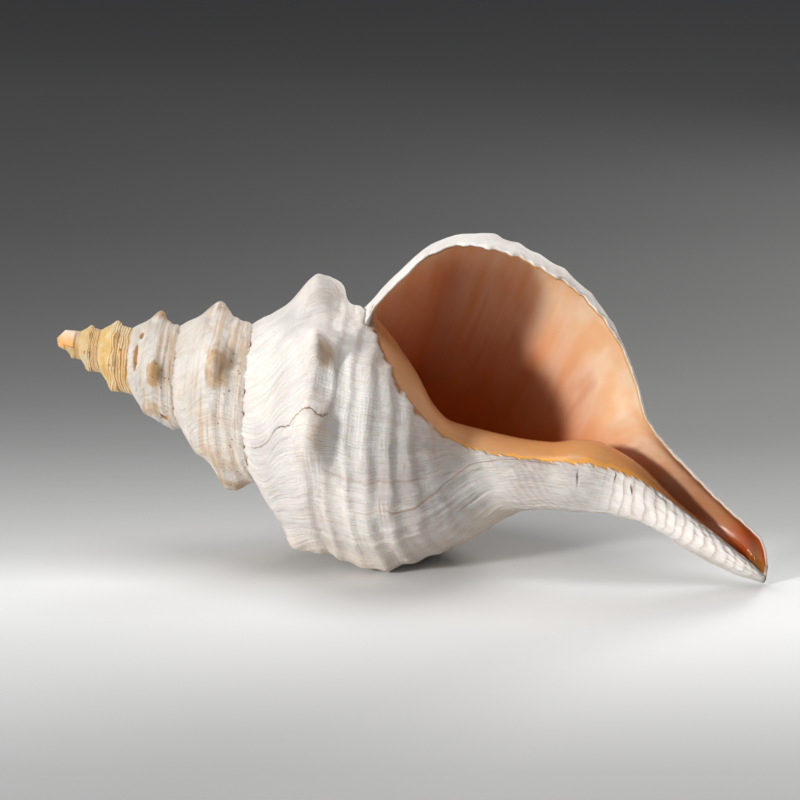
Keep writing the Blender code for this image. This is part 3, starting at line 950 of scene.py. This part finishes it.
def glazeColour(bench, coil, grain):
    # peach and cream bands at the lip that burn to brown inside and darken deeper in with painted shade, and
    # the thin wash over the last whorl, darkened with painted shade where it runs deep into the mouth
    look, back, height = shellLook, coil.back, coil.height
    bands = bench.cloud(back * 0.02, coil.profile * 0.085, 3.0)
    depth = back + grain.drift * 20
    mouth = bench.mixColour(bench.ramp(bands, 0.35, 0.65), colour("lipPeach"), colour("lipCream"))
    mouth = paint(
        bench, mouth,
        (bench.ramp(bands, 0.58, 0.75) * 0.5, "lipRose"),
        (bench.ramp(depth, *look["throatFrom"]), "throat"),
        # deep in the mouth the brown darkens further: partly the shell's own colour, partly painted shade
        (bench.ramp(depth, *look["deepThroatShadeFrom"]), "deepThroatBrownAndShade"),
    )
    rimDistance = back - lineCurve(bench, height, growth["glazeLine"])
    margin = bench.ramp(rimDistance + grain.speckle * 26, 8, 3)
    margin = margin * bench.ramp(grain.streaks, 0.35, 0.55, 0.4, 1)
    wash = bench.mixColour(bench.ramp(height, *look["washTurns"]), colour("glazeTan"), colour("glazeOrange"))
    wash = paint(
        bench, wash,
        # the wash darkens deep in the mouth: partly its own colour, partly painted shade
        (bench.ramp(back, *look["deepWashShadeFrom"]), "deepThroatBrownAndShade"),
        (bench.ramp(grain.spots, 0.4, 0.7) * 0.35, "ochre"),
        (margin * bench.ramp(height, *look["amberFrom"]) * 0.85, "glazeAmber"),
        (bench.ramp(rimDistance, 4, 0) * bench.ramp(height, *look["edgeUntil"]) * 0.8, "glazeEdge"),
    )
    # painted shade along the deepest part of the canal's trough
    troughBack, troughWidth = look["troughShadeBand"]
    troughShadeBand = bench.bell(back + coil.inside * 360, troughBack + grain.drift * 6, troughWidth)
    return paint(
        bench, bench.mixColour(coil.inside, wash, mouth),
        (bench.ramp(height + grain.drift * 20, *look["canalFrom"]) * 0.85, "canalBrown"),
        (bench.ramp(height + grain.drift * 8, *look["canalTipFrom"]), "canalTip"),
        (troughShadeBand * bench.ramp(height, *look["troughShadeFrom"]) * 0.85, "troughShade"),
    )


def chalkBump(bench, coil, grain):
    # fine threads, growth lines, grain and pits, in millimetres
    back, profile = coil.back, coil.profile
    threads = bench.cloud(back * 0.03, profile * 0.55, 8.0, 3, 0.65)
    threadRun = bench.ramp(bench.cloud(back * 0.05, profile * 0.05, 4.0), 0.4, 0.65)
    fine = threads * threadRun * 0.75 * bench.ramp(coil.size, 0.12, 0.5, 0.3, 1.0)
    fine = fine + grain.fineStreaks * 0.8 + grain.streaks * 0.9 + grain.spots * 0.7
    fine = fine + bench.noise(grain.place, 900.0, 2, 0.6) * 0.2 - grain.pits * 0.5 - grain.crack * 0.8
    fine = fine * (1 - grain.frillZone * 0.9) + grain.saw * grain.saw * grain.frillZone * 2.4
    for split in grain.splits:
        fine = fine - split * 1.2
    return fine


def shellMaterial():
    material = bpy.data.materials.new("shellLime")
    material.use_nodes = True
    links = material.node_tree.links
    shader = material.node_tree.nodes["Principled BSDF"]
    bench = Bench(material.node_tree)
    coil = Coil(bench)
    grain = Grain(bench, coil)
    chalk, glaze = 1 - coil.glaze, coil.glaze
    both = bench.mixColour(glaze, chalkColour(bench, coil, grain), glazeColour(bench, coil, grain))
    rough = chalk * (shellLook["chalkRoughness"] + grain.speckle * 0.2)
    rough = rough + glaze * (shellLook["glazeRoughness"] + grain.drift * 0.12)
    height = chalkBump(bench, coil, grain) * chalk + glaze * grain.broad * 0.15
    bump = bench.add("ShaderNodeBump", None, {"Strength": 1.0, "Distance": mm, "Height": height}, "Normal")
    links.new(both.socket, shader.inputs["Base Color"])
    links.new(rough.socket, shader.inputs["Roughness"])
    links.new(bump.socket, shader.inputs["Normal"])
    shader.inputs["Subsurface Weight"].default_value = shellLook["subsurface"]
    shader.inputs["Subsurface Radius"].default_value = shellLook["subsurfaceColour"]
    shader.inputs["Subsurface Scale"].default_value = shellLook["subsurfaceScale"]
    return material


def finishShell():
    material = shellMaterial()
    grown = bpy.data.objects.new("shellGrown", growShell())
    bpy.context.collection.objects.link(grown)
    print("grown surface:", len(grown.data.vertices), "points")
    modifier = grown.modifiers.new("relief", "NODES")
    modifier.node_group = reliefTree(material)
    for item in modifier.node_group.interface.items_tree:
        if item.in_out == "INPUT" and item.name in reliefSizes:
            modifier[item.identifier] = reliefSizes[item.name]
    evaluated = grown.evaluated_get(bpy.context.evaluated_depsgraph_get())
    data = bpy.data.meshes.new_from_object(evaluated)
    data.name = "horse_conch"
    grown.modifiers.remove(modifier)
    bpy.data.objects.remove(grown)
    data.shade_smooth()
    shell = bpy.data.objects.new("horse_conch", data)
    bpy.context.collection.objects.link(shell)
    data.calc_loop_triangles()
    print("finished surface:", len(data.loop_triangles), "triangles")
    return shell


shell = finishShell()
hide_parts("shell")
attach(shell, "root")

# Floor: paper that is white under the shell and darkens smoothly behind it, all painted: a painted shadow of
# the shell just behind it, painted light falloff towards the back and the front, and painted brightening
# towards the right
floorLook = {
    "size": 30.0,
    "turn": 10.5,   # degrees, so that it darkens straight away from the photographer
    # metres away from the middle of the shell, and how bright there
    # the drop just behind the middle is the shell's painted shadow, the fall towards both ends painted light
    # falloff
    "stops": [(-0.35, 0.36), (-0.29, 0.43), (-0.25, 0.50), (-0.20, 0.61), (-0.15, 0.72), (-0.10, 0.80),
              (-0.04, 0.77), (0.01, 0.55), (0.05, 0.47), (0.08, 0.42), (0.15, 0.32), (0.23, 0.224),
              (0.32, 0.158), (0.41, 0.124), (0.52, 0.100), (0.64, 0.083), (0.93, 0.064), (1.3, 0.067),
              (1.8, 0.084), (2.6, 0.066)],
    # painted light: brighter towards the right
    "across": (-0.35, 0.88, 0.35, 1.10),   # metres left and right, and how bright there
    "tint": (0.985, 0.995, 1.0),
    "roughness": 0.75,
}


def paperFloor(level):
    half = floorLook["size"] / 2
    data = bpy.data.meshes.new("paper")
    corners = [(-half, -half, level), (half, -half, level), (half, half, level), (-half, half, level)]
    data.from_pydata(corners, [], [(0, 1, 2, 3)])
    floor = bpy.data.objects.new("paper", data)
    bpy.context.collection.objects.link(floor)
    material = bpy.data.materials.new("paper")
    material.use_nodes = True
    bench = Bench(material.node_tree)
    place = bench.add("ShaderNodeTexCoord", output="Object")
    turned = bench.add("ShaderNodeMapping", {"vector_type": "POINT"},
                       {"Vector": place, "Rotation": (0, 0, -math.radians(floorLook["turn"]))})
    away = bench.add("ShaderNodeSeparateXYZ", None, {0: turned}, 1)
    near, far = floorLook["stops"][0][0], floorLook["stops"][-1][0]
    share = ((away - near) / (far - near)).math("MAXIMUM", 0.0) ** 0.5
    stops = [(((x - near) / (far - near)) ** 0.5, [v * part for part in floorLook["tint"]])
             for x, v in floorLook["stops"]]
    shade = bench.add("ShaderNodeValToRGB", {"stops": stops}, {0: share})
    shader = material.node_tree.nodes["Principled BSDF"]
    side = bench.add("ShaderNodeSeparateXYZ", None, {0: turned}, 0)
    left, leftShade, right, rightShade = floorLook["across"]
    side = bench.add("ShaderNodeMapRange", None, {"Value": side, "From Min": left, "To Min": leftShade,
                                                  "From Max": right, "To Max": rightShade})
    shade = bench.add("ShaderNodeVectorMath", {"operation": "SCALE"}, {0: shade, "Scale": side})
    material.node_tree.links.new(shade.socket, shader.inputs["Base Color"])
    shader.inputs["Roughness"].default_value = floorLook["roughness"]
    data.materials.append(material)
    floor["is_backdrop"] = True


paperFloor(min(0.0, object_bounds()[0].z))
print("floor laid")

# Light from the left front, a soft one above and a weak one behind: place, size, watts, colour
lights = {
    "keyLight": ((-1.38, -1.72, 0.74), 0.30, 50, (1.0, 0.985, 0.96)),
    "topLight": ((-0.5, 0.1, 1.7), 1.1, 17, (1.0, 0.99, 0.97)),
    "rimLight": ((0.45, 1.2, 0.75), 0.5, 9, (1.0, 0.98, 0.95)),
}
room = {"lightsAimAt": (0.0, 0.0, 0.07), "colour": (0.52, 0.53, 0.55, 1), "strength": 0.42}
camera = {
    "azimuth": 10.5, "elevation": 14.0, "distance": 1.4, "lens": 126.96, "target": (-0.0038, -0.0113, 0.0842),
}


def aimAt(thing, target):
    thing.rotation_euler = (Vector(target) - thing.location).to_track_quat("-Z", "Y").to_euler()


for name, (place, size, watts, tint) in lights.items():
    lamp = bpy.data.lights.new(name, "AREA")
    lamp.size, lamp.energy, lamp.color = size, watts, tint
    lampObject = bpy.data.objects.new(name, lamp)
    lampObject.location = place
    bpy.context.collection.objects.link(lampObject)
    aimAt(lampObject, room["lightsAimAt"])

world = bpy.data.worlds.new("room")
world.use_nodes = True
background = world.node_tree.nodes["Background"]
background.inputs["Color"].default_value = room["colour"]
background.inputs["Strength"].default_value = room["strength"]
bpy.context.scene.world = world
bpy.context.scene.view_settings.view_transform = "Standard"

lens = bpy.data.cameras.new("photoCamera")
lens.lens = camera["lens"]
view = bpy.data.objects.new("photoCamera", lens)
bpy.context.collection.objects.link(view)
a, e = math.radians(camera["azimuth"]), math.radians(camera["elevation"])
away = np.array([math.sin(a) * math.cos(e), -math.cos(a) * math.cos(e), math.sin(e)])
view.location = np.array(camera["target"]) + away * camera["distance"]
aimAt(view, camera["target"])
bpy.context.scene.camera = view
print("lights and camera set")
